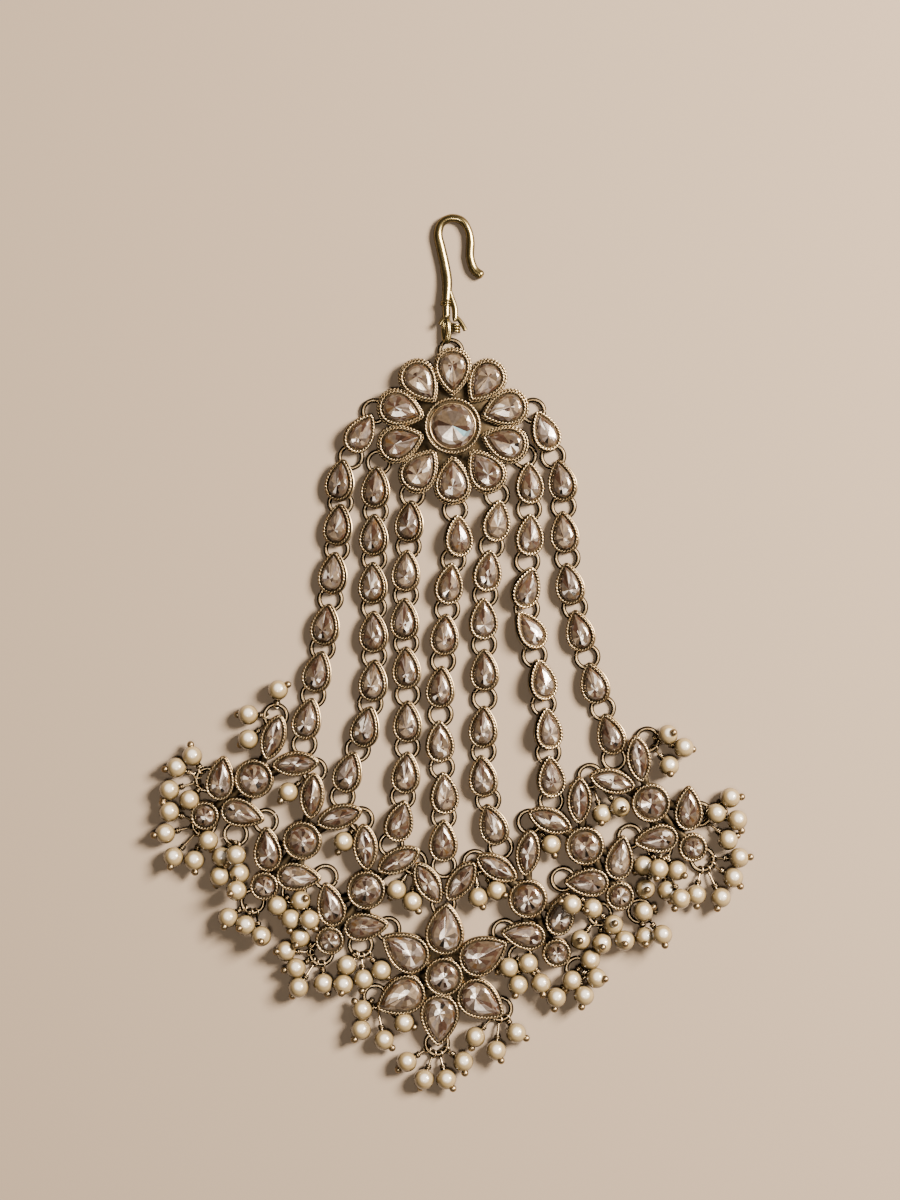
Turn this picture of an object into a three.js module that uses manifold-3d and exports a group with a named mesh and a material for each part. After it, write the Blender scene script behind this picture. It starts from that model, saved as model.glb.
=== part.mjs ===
// A jhoomar, the fan-shaped ornament worn at the side of the head. A wire hook carries a round medallion,
// seven strands of pear-shaped stones fall from it, and they end in six soldered clusters and a drop flower,
// all edged with pearls on jump rings.
// Millimetres, +Z up. It lies on its back on z = 0 with the hook towards +Y. The origin is on that surface,
// below the middle of the outline.
import * as THREE from "three";
import { mergeVertices } from "three/addons/utils/BufferGeometryUtils.js";
import Module from "manifold-3d";

const wasm = await Module();
wasm.setup();

// Driving dimensions.
const WIRE = 0.4; // half the thickness of a jump ring's wire
const RING = 1.9; // a jump ring, from its centre to the middle of its wire
const PEARL = 1.6; // a pearl's radius
const PIN = 0.25; // radius of the wire that carries a pearl
const HOOK_WIRE = 0.7; // radius of the hook's wire
const HOOK_REST = 1.7; // height of the wire's middle where it lies over the top ring
const GAP = 0.3; // clearance between pieces that are linked but not soldered
const STRAND_SEAT = 0.55; // underside of a strand's cups, soldered to their rings
const HIGH_SEAT = 2 * WIRE + GAP; // underside of every cup that a loose ring passes below
const CUP_HEIGHT = 1.6; // from a cup's underside to its rim
const CUP_DRAFT = 0.35; // how much narrower each side of a cup is at its underside
const STONE_RISE = 1.1; // from the rim up to the point of a stone
const STONE_GAP = 0.4; // clearance all round a loose stone
const STONE_DEPTH = 0.6; // depth of the pocket that holds a loose stone
const CUP_SIDES = 8;
const BRIDGE = 1.5; // width of the solder bars below a cluster
const BRIDGE_HEIGHT = 0.7;
const FOOT = 1.7; // radius of the boss that a soldered group stands on
const OVERLAP = 0.2; // how far soldered bodies run into each other
const ROLL_LIFT = 0.4; // how far a link rolled by a right angle would be lifted
const PEAR_TAPER = 0.4; // how soon a pear outline narrows towards its tip
const PEAR_WIDEST = 0.803; // the widest value of the untrimmed pear curve with that taper
const MARQUISE_TAPER = 0.6; // how much more pointed than an ellipse a marquise is

// Cups: outline, outer width and length, and how wide the metal rim is.
const CUPS = {
  link: { form: "pear", width: 4.9, length: 7.2, rim: 0.6 },
  petal: { form: "pear", width: 5.8, length: 7.1, rim: 0.65 },
  marquise: { form: "marquise", width: 4.2, length: 7.9, rim: 0.6 },
  side_pear: { form: "pear", width: 4.9, length: 7.6, rim: 0.6 },
  side_round: { form: "round", width: 6.2, length: 6.2, rim: 0.85 },
  small_round: { form: "round", width: 4.7, length: 4.7, rim: 0.8 },
  flower_pear: { form: "pear", width: 6.3, length: 8.4, rim: 0.7 },
  centre: { form: "round", width: 9.4, length: 9.4, rim: 0.85 },
};

const MEDALLION = { x: 0.1, y: 38.4, petals: 10, reach: 9.5, plate: 9.2 };
const FLOWER = { x: -1.4, y: -55.2, petals: 6, reach: 7.65, turn: -3 };

// Hook: the wire's middle from its eye over the arch to the flared tip.
const HOOK_ROUTE = [
  [-0.8, 56.5], [-0.8, 59.5], [-0.8, 63.2], [-1.35, 66.4], [-2.1, 69.2], [-2.35, 71.3], [-1.6, 73.0],
  [-0.1, 73.42], [1.6, 72.9], [2.8, 71.6], [3.1, 69.4], [3.1, 67.0], [3.8, 65.1], [5.2, 64.0],
];
// The shank's second prong, which parts from it and holds the eye from the other side.
const PRONG_ROUTE = [[-0.6, 63.0], [-0.1, 60.8], [0.4, 58.4], [0.5, 56.2]];
const PRONG_WIRE = 0.45;
const HOOK_LANDS = 65; // how far up its length the wire comes down to the surface
const EYE = { x: -0.3, y: 54.9, radius: 1.25, wire: 0.4 };
const TOP_RING = { x: -0.2, y: 51.3 };

// Strands: the first and last ring, and each link as x, y, how many degrees its tip leans towards +X, and
// how many degrees it is rolled towards +X.
const STRANDS = [
  {
    name: "strand_1", first: [-13.9, 41.5], last: [-25.2, -15.8],
    links: [[-15.9, 36.9, 27, 0], [-18.9, 29.2, 8, 0], [-19.2, 21.6, 7, 0], [-20.1, 13.4, 6, 0],
      [-21.4, 4.6, 9, 0], [-22.8, -3.4, 13, 0], [-24.6, -11.4, 14, 0]],
  },
  {
    name: "strand_2", first: [-12.5, 32.3], last: [-18.7, -24.7],
    links: [[-12.9, 28.0, 4, 0], [-13.2, 19.9, 2, 0], [-13.4, 11.7, 0, 0], [-13.3, 3.4, 0, 0],
      [-13.3, -4.9, 4, 0], [-14.6, -12.8, 14, 0], [-17.6, -20.5, 17, 0]],
  },
  {
    name: "strand_3", first: [-6.8, 26.8], last: [-10.4, -32.9],
    links: [[-7.1, 22.2, 5, 0], [-7.8, 13.8, 4, 0], [-8.0, 5.6, 0, 0], [-7.7, -2.7, -2, 0],
      [-7.5, -11.9, 0, 0], [-7.8, -20.6, 5, 0], [-9.0, -28.8, 15, 0]],
  },
  {
    name: "centre_strand", first: [0.5, 24.2], last: [-1.4, -36.5],
    links: [[0.9, 19.7, -3, 0], [-0.5, 11.6, 8, 0], [-1.2, 2.9, 4, 0], [-1.9, -6.0, 4, 0],
      [-2.1, -15.3, -2, 0], [-1.4, -24.1, -3, 0], [-1.5, -32.2, 1, 0]],
  },
  {
    name: "strand_5", first: [7.6, 26.8], last: [8.3, -33.3],
    links: [[7.4, 22.3, 9, 0], [6.0, 13.8, 8, 0], [5.3, 5.6, 0, 0], [5.6, -3.1, -1, 0],
      [5.4, -12.8, 2, 0], [5.3, -21.2, -6, 0], [7.0, -29.4, -19, 0]],
  },
  {
    name: "strand_6", first: [12.3, 33.4], last: [16.9, -25.4],
    links: [[13.1, 28.7, -3, 0], [13.1, 19.9, 2, 0], [12.5, 11.0, 17, 10], [13.0, 3.6, -34, 14],
      [15.1, -4.8, -12, 12], [16.1, -13.1, -6, 8], [16.7, -21.3, -5, 0]],
  },
  {
    name: "strand_7", first: [14.3, 42.0], last: [27.6, -18.2],
    links: [[16.0, 37.7, -22, 0], [18.8, 29.2, -10, 0], [19.2, 20.4, -6, 0], [20.1, 11.6, -10, 0],
      [21.8, 3.6, -14, 0], [24.3, -5.3, -16, 0], [27.1, -14.0, -17, 0]],
  },
];

// The centre strand's V: each marquise as x, y and the lean of its axis, and the lugs that solder it on.
const V_CUPS = [[-4.1, -39.3, -30], [1.5, -39.0, 36]];
const V_LUGS = [[-3.3, -37.5], [0.4, -37.5]];

// One cluster is a fixed casting round its round stone: where each cup sits and where its axis points, in
// degrees from the first marquise. The casting is mirrored for the right-hand side.
const CLUSTER_CUPS = [
  { kind: "marquise", at: 0, reach: 7.8, axis: 8 },
  { kind: "marquise", at: -45, reach: 7.5, axis: -61 },
  { kind: "side_pear", at: 114, reach: 6.2, axis: 17 },
  { kind: "side_pear", at: 187, reach: 6.2, axis: -82 },
  { kind: "small_round", at: 152, reach: 10.4, axis: 0 },
];
// Clusters: the round stone's place, the heading of the first marquise and which way round the casting is.
const CLUSTERS = [
  { name: "cluster_left_1", x: -33.7, y: -21.6, heading: 65, side: 1 },
  { name: "cluster_left_2", x: -25.5, y: -32.1, heading: 77.5, side: 1 },
  { name: "cluster_left_3", x: -14.6, y: -40.5, heading: 87.5, side: 1 },
  { name: "cluster_right_1", x: 33.8, y: -25.7, heading: 105.5, side: -1 },
  { name: "cluster_right_2", x: 22.6, y: -33.0, heading: 97, side: -1 },
  { name: "cluster_right_3", x: 12.9, y: -42.0, heading: 90, side: -1 },
];

// Loose rings: where each lies, and the pearls that hang from it as x, y, and a height where one lies over
// another piece.
const LOOSE_RINGS = [
  { name: "left_1_top", x: -30.1, y: -10.9, pearls: [[-29.6, -6.5], [-34.7, -10.7], [-34.7, -14.9]] },
  { name: "left_1_to_2_upper", x: -23.5, y: -20.2, pearls: [[-27.9, -23.9]] },
  { name: "left_1_to_2_lower", x: -31.8, y: -28.9, pearls: [] },
  {
    name: "left_1_outer", x: -41.7, y: -21.8,
    pearls: [[-44.2, -17.7], [-46.9, -19.7], [-48.1, -23.5], [-44.7, -25.2]],
  },
  {
    name: "left_1_small", x: -42.3, y: -29.4,
    pearls: [[-48.1, -27.2], [-48.8, -30.9], [-47.4, -34.9], [-43.9, -35.5], [-41.5, -32.1]],
  },
  {
    name: "left_1_foot", x: -36.9, y: -31.1,
    pearls: [[-39.2, -34.9], [-36.6, -34.4], [-39.6, -38.2], [-36.2, -37.7], [-36.5, -40.4]],
  },
  { name: "left_2_to_3_upper", x: -15.5, y: -28.6, pearls: [[-18.5, -32.3]] },
  { name: "left_2_to_3_lower", x: -21.6, y: -38.4, pearls: [] },
  { name: "left_2_small", x: -34.0, y: -42.6, pearls: [[-38.1, -45.2], [-35.1, -46.4], [-32.4, -48.2]] },
  {
    name: "left_2_foot", x: -27.0, y: -41.0,
    pearls: [[-29.8, -43.2], [-25.8, -42.3], [-27.4, -45.4], [-24.2, -45.4]],
  },
  { name: "left_3_to_v", x: -6.4, y: -35.9, pearls: [[-9.5, -40.5], [-6.8, -42.5]] },
  { name: "left_3_to_flower", x: -10.9, y: -47.3, pearls: [] },
  {
    name: "left_3_foot", x: -15.6, y: -50.0,
    pearls: [[-18.0, -53.3], [-18.5, -56.5], [-15.1, -55.7], [-12.1, -54.2]],
  },
  {
    name: "left_3_small", x: -22.3, y: -51.4,
    pearls: [[-25.9, -48.6], [-28.3, -50.9], [-26.6, -53.8], [-26.1, -57.0], [-21.9, -56.4]],
  },
  { name: "right_1_to_2_upper", x: 23.5, y: -21.2, pearls: [[25.5, -27.6], [28.5, -26.4]] },
  { name: "right_1_top", x: 33.3, y: -15.0, pearls: [[36.9, -19.4], [39.4, -16.3], [36.7, -14.1]] },
  {
    name: "right_1_outer", x: 42.2, y: -27.7,
    pearls: [[44.9, -27.5], [47.3, -24.8], [48.5, -28.6], [46.9, -32.0]],
  },
  {
    name: "right_1_small", x: 42.7, y: -35.4,
    pearls: [[41.5, -41.3], [45.7, -41.8], [47.8, -38.4], [48.8, -35.0]],
  },
  { name: "right_1_to_2_lower", x: 30.3, y: -31.5, pearls: [] },
  {
    name: "right_1_foot", x: 35.4, y: -33.7,
    pearls: [[32.5, -36.4], [34.9, -36.7], [32.8, -40.3], [36.6, -40.6], [38.6, -41.7], [38.2, -37.2]],
  },
  { name: "right_2_to_3_upper", x: 13.2, y: -29.0, pearls: [[16.8, -32.8]] },
  { name: "right_2_to_3_lower", x: 18.9, y: -38.8, pearls: [] },
  {
    name: "right_2_foot", x: 25.2, y: -44.7,
    pearls: [[20.2, -42.7, 4.6], [23.8, -43.5, 3.2], [21.8, -49.0], [25.5, -49.6], [27.4, -46.4],
      [29.3, -49.0]],
  },
  { name: "right_2_small", x: 32.0, y: -44.2, pearls: [[32.5, -44.2], [32.8, -48.5], [35.6, -47.9]] },
  { name: "right_3_to_v", x: 3.9, y: -35.9, pearls: [[4.4, -41.8], [7.5, -40.6]] },
  { name: "right_3_to_flower", x: 7.3, y: -46.9, pearls: [] },
  {
    name: "right_3_foot", x: 11.6, y: -51.9,
    pearls: [[9.6, -53.7], [12.9, -53.0], [11.2, -56.7], [15.1, -56.4]],
  },
  {
    name: "right_3_small", x: 21.4, y: -54.1,
    pearls: [[17.7, -58.8], [20.4, -55.9], [22.4, -58.3], [23.5, -52.4], [24.5, -55.3]],
  },
  { name: "v_to_flower", x: -1.5, y: -43.0, pearls: [] },
  {
    name: "flower_left", x: -13.1, y: -58.8,
    pearls: [[-15.3, -60.9], [-15.5, -64.3], [-11.6, -66.0], [-8.2, -63.1]],
  },
  {
    name: "flower_bottom", x: -2.6, y: -66.8,
    pearls: [[-7.7, -69.7], [-4.8, -72.7], [-1.0, -72.7], [1.9, -69.7]],
  },
  { name: "flower_right", x: 8.2, y: -60.9, pearls: [[3.9, -65.5], [7.5, -67.8], [10.9, -64.8]] },
];

const radians = THREE.MathUtils.degToRad;
const ornament = new THREE.Group();
const FINISHES = {
  metal: new THREE.MeshStandardMaterial({ color: "#a58a63", roughness: 0.35, metalness: 1 }),
  hook: new THREE.MeshStandardMaterial({ color: "#9c8a58", roughness: 0.3, metalness: 1 }),
  stone: new THREE.MeshStandardMaterial({ color: "#c4a692", roughness: 0.1, metalness: 0.2 }),
  pearl: new THREE.MeshStandardMaterial({ color: "#e9dcc3", roughness: 0.3, metalness: 0 }),
};

// A manifold solid of a closed geometry, with shared corners merged and collapsed triangles dropped.
function solidOf(geometry) {
  const bare = geometry.clone();
  bare.deleteAttribute("normal");
  bare.deleteAttribute("uv");
  const merged = mergeVertices(bare, 1e-5);
  const corners = merged.index.array;
  const kept = [];
  for (let i = 0; i < corners.length; i += 3) {
    const [a, b, c] = corners.slice(i, i + 3);
    if (a !== b && b !== c && c !== a) kept.push(a, b, c);
  }
  return new wasm.Manifold(new wasm.Mesh({
    numProp: 3,
    vertProperties: Float32Array.from(merged.attributes.position.array),
    triVerts: Uint32Array.from(kept),
  }));
}

// Joins overlapping closed geometries into one mesh of the ornament.
function addJoined(name, geometries, material) {
  const solid = geometries.map(solidOf).reduce((whole, next) => whole.add(next));
  const { vertProperties, triVerts } = solid.getMesh();
  const geometry = new THREE.BufferGeometry();
  geometry.setAttribute("position", new THREE.BufferAttribute(vertProperties, 3));
  geometry.setIndex(new THREE.BufferAttribute(triVerts, 1));
  geometry.computeVertexNormals();
  const mesh = new THREE.Mesh(geometry, material);
  mesh.name = name;
  ornament.add(mesh);
}

// A point of a cup's outline as fractions of its half width and half length; the tip is at +90 degrees.
function outlinePoint(form, turn) {
  const across = Math.cos(turn);
  const along = Math.sin(turn);
  if (form === "pear") return [(across * ((1 - along) / 2) ** PEAR_TAPER) / PEAR_WIDEST, along];
  if (form === "marquise") return [across * Math.abs(across) ** MARQUISE_TAPER, along];
  return [across, along];
}

// A body turned from a profile of [radius, height] whose every layer takes the cup's outline, so a radius
// of half the width reaches the outline itself and a smaller one runs the same distance inside it.
function outlinedLathe({ form, width, length }, profile) {
  const points = profile.map(([radius, height]) => new THREE.Vector2(radius, height));
  const geometry = new THREE.LatheGeometry(points, CUP_SIDES).rotateX(Math.PI / 2);
  const position = geometry.attributes.position;
  for (let i = 0; i < position.count; i += 1) {
    const radius = Math.hypot(position.getX(i), position.getY(i));
    if (radius < 1e-6) continue;
    const [across, along] = outlinePoint(form, Math.atan2(position.getY(i), position.getX(i)));
    const halfLength = length / 2 - (width / 2 - radius);
    position.setXY(i, across * radius, along * halfLength);
  }
  return geometry;
}

// A cup with its stone in one body, standing on its seat with its tip towards +Y.
function stoneCup(kind) {
  const half = CUPS[kind].width / 2;
  const girdle = half - CUPS[kind].rim;
  return outlinedLathe(CUPS[kind], [
    [0, 0],
    [half - CUP_DRAFT, 0],
    [half, CUP_HEIGHT],
    [girdle, CUP_HEIGHT],
    [0, CUP_HEIGHT + STONE_RISE],
  ]);
}

// A cup with an open pocket, for a stone that is a piece of its own.
function openCup(kind) {
  const half = CUPS[kind].width / 2;
  const pocket = half - CUPS[kind].rim;
  return outlinedLathe(CUPS[kind], [
    [0, 0],
    [half - CUP_DRAFT, 0],
    [half, CUP_HEIGHT],
    [pocket, CUP_HEIGHT],
    [pocket, CUP_HEIGHT - STONE_DEPTH],
    [0, CUP_HEIGHT - STONE_DEPTH],
  ]);
}

// The stone that lies in an open cup's pocket, clear of the metal all round.
function looseStone(kind) {
  const girdle = CUPS[kind].width / 2 - CUPS[kind].rim - STONE_GAP;
  return outlinedLathe(CUPS[kind], [
    [0, CUP_HEIGHT - STONE_DEPTH + GAP],
    [girdle, CUP_HEIGHT - STONE_DEPTH + GAP],
    [girdle, CUP_HEIGHT],
    [0, CUP_HEIGHT + STONE_RISE],
  ]);
}

// Turns a geometry so that its +Y points along a heading in degrees, and puts it at x, y, z.
function placed(geometry, x, y, z, heading = 90) {
  return geometry.rotateZ(radians(heading - 90)).translate(x, y, z);
}

function flatRing(x, y, z = WIRE, radius = RING, wire = WIRE) {
  return new THREE.TorusGeometry(radius, wire, 3, 8).translate(x, y, z);
}

// A straight wire between two points.
function pinBetween(from, to, radius) {
  const along = new THREE.Vector3().subVectors(to, from);
  const geometry = new THREE.CylinderGeometry(radius, radius, along.length(), 3);
  const turn = new THREE.Quaternion().setFromUnitVectors(new THREE.Vector3(0, 1, 0), along.normalize());
  const middle = new THREE.Vector3().addVectors(from, to).multiplyScalar(0.5);
  return geometry.applyQuaternion(turn).translate(middle.x, middle.y, middle.z);
}

// A flat bar on the seats of two soldered cups.
function solderBar(fromX, fromY, toX, toY) {
  const length = Math.hypot(toX - fromX, toY - fromY);
  const bar = new THREE.BoxGeometry(BRIDGE, length, BRIDGE_HEIGHT);
  const heading = THREE.MathUtils.radToDeg(Math.atan2(toY - fromY, toX - fromX));
  return placed(bar, (fromX + toX) / 2, (fromY + toY) / 2, HIGH_SEAT + BRIDGE_HEIGHT / 2, heading);
}

// A round boss from the surface up into the cup above it.
function foot(x, y, radius) {
  const height = HIGH_SEAT + OVERLAP;
  const boss = new THREE.CylinderGeometry(radius, radius, height, CUP_SIDES);
  return boss.rotateX(Math.PI / 2).translate(x, y, height / 2);
}

// A bent wire over a list of x, y that lies over the top ring at the eye and comes down to the surface.
function bentWire(points, radius, steps) {
  const route = new THREE.CatmullRomCurve3(points.map(([x, y]) => {
    const fall = THREE.MathUtils.clamp((y - EYE.y) / (HOOK_LANDS - EYE.y), 0, 1);
    return new THREE.Vector3(x, y, THREE.MathUtils.lerp(HOOK_REST, HOOK_WIRE, fall));
  }));
  const section = new THREE.Shape().absarc(0, 0, radius, 0, 2 * Math.PI);
  return new THREE.ExtrudeGeometry(section, { steps, extrudePath: route, curveSegments: 3 });
}

function addHook() {
  addJoined("hook", [
    bentWire(HOOK_ROUTE, HOOK_WIRE, 26),
    bentWire(PRONG_ROUTE, PRONG_WIRE, 5),
    flatRing(EYE.x, EYE.y, HOOK_REST, EYE.radius, EYE.wire),
  ], FINISHES.hook);
  addJoined("top_ring", [flatRing(TOP_RING.x, TOP_RING.y)], FINISHES.metal);
}

function addMedallion() {
  const { x, y, petals, reach, plate } = MEDALLION;
  const thickness = HIGH_SEAT + OVERLAP;
  const disc = new THREE.CylinderGeometry(plate, plate, thickness, 20).rotateX(Math.PI / 2);
  const metal = [disc.translate(x, y, thickness / 2), placed(openCup("centre"), x, y, HIGH_SEAT)];
  addJoined("centre_stone", [placed(looseStone("centre"), x, y, HIGH_SEAT)], FINISHES.stone);
  for (let i = 0; i < petals; i += 1) {
    const out = 90 + (360 * i) / petals;
    const petalX = x + reach * Math.cos(radians(out));
    const petalY = y + reach * Math.sin(radians(out));
    metal.push(placed(openCup("petal"), petalX, petalY, HIGH_SEAT, out + 180));
    const stone = placed(looseStone("petal"), petalX, petalY, HIGH_SEAT, out + 180);
    addJoined(`petal_stone_${i + 1}`, [stone], FINISHES.stone);
  }
  addJoined("medallion_setting", metal, FINISHES.metal);
}

// A strand's cups and the rings between them, and for the centre strand the V that it ends in.
function addStrand({ name, first, last, links }) {
  const cups = links.map(([x, y, lean, roll]) => {
    const cup = stoneCup("link").rotateY(radians(roll));
    return placed(cup, x, y, STRAND_SEAT + ROLL_LIFT * Math.sin(radians(roll)), 90 - lean);
  });
  const middles = links.slice(1).map(([x, y], i) => [(x + links[i][0]) / 2, (y + links[i][1]) / 2]);
  const rings = [first, ...middles, last].map(([x, y]) => flatRing(x, y));
  const ending = name !== "centre_strand" ? [] : [
    ...V_CUPS.map(([x, y, lean]) => placed(stoneCup("marquise"), x, y, HIGH_SEAT, 90 - lean)),
    ...V_LUGS.map(([x, y]) => foot(x, y, WIRE)),
  ];
  addJoined(name, [...cups, ...rings, ...ending], FINISHES.metal);
}

function addCluster({ name, x, y, heading, side }) {
  const parts = [placed(stoneCup("side_round"), x, y, HIGH_SEAT), foot(x, y, FOOT)];
  for (const { kind, at, reach, axis } of CLUSTER_CUPS) {
    const cupX = x + reach * Math.cos(radians(heading + side * at));
    const cupY = y + reach * Math.sin(radians(heading + side * at));
    parts.push(placed(stoneCup(kind), cupX, cupY, HIGH_SEAT, heading + side * axis));
    parts.push(solderBar(x, y, cupX, cupY));
  }
  addJoined(name, parts, FINISHES.metal);
}

function addFlower() {
  const { x, y, petals, reach, turn } = FLOWER;
  const parts = [placed(stoneCup("side_round"), x, y, HIGH_SEAT), foot(x, y, FOOT)];
  for (let i = 0; i < petals; i += 1) {
    const out = 90 + turn + (360 * i) / petals;
    const petalX = x + reach * Math.cos(radians(out));
    const petalY = y + reach * Math.sin(radians(out));
    parts.push(placed(stoneCup("flower_pear"), petalX, petalY, HIGH_SEAT, out));
    parts.push(solderBar(x, y, petalX, petalY));
  }
  addJoined("drop_flower", parts, FINISHES.metal);
}

// The height of each pearl's middle: on the surface, or on an earlier pearl that it lies over.
function pearlHeights(pearls) {
  const heights = [];
  for (const [x, y, given] of pearls) {
    const rests = heights.map((height, i) => {
      const apart = Math.hypot(x - pearls[i][0], y - pearls[i][1]);
      return apart < 2 * PEARL ? height + Math.sqrt(4 * PEARL ** 2 - apart ** 2) : PEARL;
    });
    heights.push(given ?? Math.max(PEARL, ...rests));
  }
  return heights;
}

// A loose ring and its pearls, each on a pin from the ring's wire.
function addLooseRing({ name, x, y, pearls }) {
  const heights = pearlHeights(pearls);
  const parts = [flatRing(x, y)];
  pearls.forEach(([pearlX, pearlY], i) => {
    const middle = new THREE.Vector3(pearlX, pearlY, heights[i]);
    const towards = Math.atan2(pearlY - y, pearlX - x);
    const start = new THREE.Vector3(x + RING * Math.cos(towards), y + RING * Math.sin(towards), WIRE);
    parts.push(new THREE.IcosahedronGeometry(PEARL, 0).translate(middle.x, middle.y, middle.z));
    parts.push(pinBetween(start, middle, PIN));
  });
  const finish = pearls.length ? FINISHES.pearl : FINISHES.metal;
  addJoined(pearls.length ? `pearls_${name}` : `ring_${name}`, parts, finish);
}

addHook();
addMedallion();
STRANDS.forEach(addStrand);
CLUSTERS.forEach(addCluster);
addFlower();
LOOSE_RINGS.forEach(addLooseRing);

export default ornament;
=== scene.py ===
import math

import bpy
import numpy as np
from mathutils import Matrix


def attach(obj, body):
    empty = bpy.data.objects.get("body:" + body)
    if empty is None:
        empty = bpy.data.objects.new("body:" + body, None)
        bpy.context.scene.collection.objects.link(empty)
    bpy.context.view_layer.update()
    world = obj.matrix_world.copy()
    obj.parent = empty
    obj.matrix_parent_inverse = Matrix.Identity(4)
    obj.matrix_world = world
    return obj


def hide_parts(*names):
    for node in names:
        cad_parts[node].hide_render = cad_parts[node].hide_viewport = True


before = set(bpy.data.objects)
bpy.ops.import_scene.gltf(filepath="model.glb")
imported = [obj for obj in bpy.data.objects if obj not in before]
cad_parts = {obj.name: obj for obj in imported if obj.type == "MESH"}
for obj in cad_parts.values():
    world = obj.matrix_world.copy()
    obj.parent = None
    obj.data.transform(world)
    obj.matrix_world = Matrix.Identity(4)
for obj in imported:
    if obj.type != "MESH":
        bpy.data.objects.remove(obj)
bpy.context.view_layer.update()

# Camera: it hangs above the ornament and looks straight down, with the hook at the top of the view.
# Lengths in this file are millimetres until a mesh, lamp or camera is placed.
MM = 0.001
VIEW_MIDDLE = (-0.34, 8.84)
VIEW_LENGTH = 204.0  # how much of the stones' level the longer side of the view takes in
STONE_LEVEL = 2.0
EYE_HEIGHT = 430.0
SENSOR = 36.0

camera = bpy.data.objects.new("camera", bpy.data.cameras.new("camera"))
camera.location = (VIEW_MIDDLE[0] * MM, VIEW_MIDDLE[1] * MM, EYE_HEIGHT * MM)
camera.data.sensor_width = SENSOR
camera.data.lens = SENSOR * (EYE_HEIGHT - STONE_LEVEL) / VIEW_LENGTH
camera.data.clip_start = 0.01
camera.data.clip_end = 50
bpy.context.scene.collection.objects.link(camera)
bpy.context.scene.camera = camera

# Floor and light: a plain matt table top, a soft lamp low on the upper right, a weak one almost overhead that
# opens the shadows, and an even, dim, pale room.
FLOOR_COLOUR = "#b5a491"
ROOM_COLOUR = "#e6d6c2"
LAMP_COLOUR = "#fff0de"
ROOM_LIGHT = 0.05
FLOOR_SIDE = 8000.0
# Each lamp: name, place, side length, power in watts.
LAMPS = [
    ("key_lamp", (500.0, 240.0, 480.0), 240.0, 20.5),
    ("top_lamp", (-40.0, -110.0, 690.0), 120.0, 1.3),
]


def linear(hex_colour):
    """An sRGB hex value as linear red, green, blue and a full alpha."""
    srgb = np.array([int(hex_colour[i:i + 2], 16) / 255 for i in (1, 3, 5)])
    low, high = srgb / 12.92, ((srgb + 0.055) / 1.055) ** 2.4
    return (*np.where(srgb <= 0.04045, low, high).tolist(), 1.0)


def add_node(tree, kind, settings, links):
    """Adds one shader node; settings go to its properties or sockets, and links join sockets to outputs."""
    node = tree.nodes.new(kind)
    for key, value in settings.items():
        if isinstance(key, str) and hasattr(node, key):
            setattr(node, key, value)
        else:
            node.inputs[key].default_value = value
    for key, output in links.items():
        tree.links.new(output, node.inputs[key])
    return node


def new_material(name):
    """A material and its node tree, emptied."""
    material = bpy.data.materials.new(name)
    material.use_nodes = True
    material.node_tree.nodes.clear()
    return material, material.node_tree


# Painted board, rolled matt: one even pale tone with no shine.
table_top, tree = new_material("matt_pale_table_top")
matt = add_node(tree, "ShaderNodeBsdfPrincipled",
                {"Base Color": linear(FLOOR_COLOUR), "Roughness": 0.9, "Specular IOR Level": 0.2}, {})
add_node(tree, "ShaderNodeOutputMaterial", {}, {"Surface": matt.outputs["BSDF"]})
half_side = FLOOR_SIDE / 2 * MM
floor_mesh = bpy.data.meshes.new("floor")
floor_mesh.from_pydata([(-half_side, -half_side, 0), (half_side, -half_side, 0), (half_side, half_side, 0),
                        (-half_side, half_side, 0)], [], [(0, 1, 2, 3)])
floor_mesh.materials.append(table_top)
floor = bpy.data.objects.new("floor", floor_mesh)
bpy.context.scene.collection.objects.link(floor)

for lamp_name, place, side, power in LAMPS:
    lamp = bpy.data.objects.new(lamp_name, bpy.data.lights.new(lamp_name, "AREA"))
    lamp.data.size = side * MM
    lamp.data.energy = power
    lamp.data.color = linear(LAMP_COLOUR)[:3]
    distance = math.hypot(*place)
    lamp.location = [v * MM for v in place]
    lamp.rotation_euler = (math.acos(place[2] / distance), 0, math.atan2(place[1], place[0]) + math.pi / 2)
    bpy.context.scene.collection.objects.link(lamp)

room = bpy.data.worlds.new("room")
room.use_nodes = True
room.node_tree.nodes.clear()
even_light = add_node(room.node_tree, "ShaderNodeBackground",
                      {"Color": linear(ROOM_COLOUR), "Strength": ROOM_LIGHT}, {})
add_node(room.node_tree, "ShaderNodeOutputWorld", {}, {"Surface": even_light.outputs["Background"]})
bpy.context.scene.world = room

# Medallion setting: a round brass plate with a large round cup in the middle and ten pear cups round it,
# tips inwards. Each cup is a strip bent round its stone, with twisted wire soldered on the rim and round
# its foot. Antique gold: gilt brass blackened in a bath and then rubbed pale where it stands proud.
HIGH_SEAT = 1.1  # height of the back of a cup that is soldered on a plate or a casting
MEDALLION = (0.1, 38.4)
PETALS, PETAL_REACH = 10, 9.25  # how many, and how far out their middles lie
PLATE_RADIUS = 9.2
ROPE_RADIUS = 0.27  # half the thickness of the twisted wire
ROPE_STRAND = 0.58  # from one turn of the twist to the next; about 0.4 on the real wire, too fine to show
ROPE_STEPS = 5  # rows of the mesh for one turn of the twist
ROPE_SIDES = 8
ROPE_HEIGHT, FOOT_ROPE_HEIGHT = 1.32, 0.7  # of its middle, above the back of the cup
FOOT_ROPE_WIDER, FOOT_ROPE_LONGER = 0.7, 0.9  # how much larger the wire round a foot is than its cup
RIM = 0.66  # from the outside of a cup to the edge of its stone
CUP_STEPS = 44  # points round a cup's wall
PEAR_TAPER, MARQUISE_TAPER = 0.4, 0.6
PEAR_WIDEST = 0.803  # the widest that the pear's formula comes out
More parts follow.
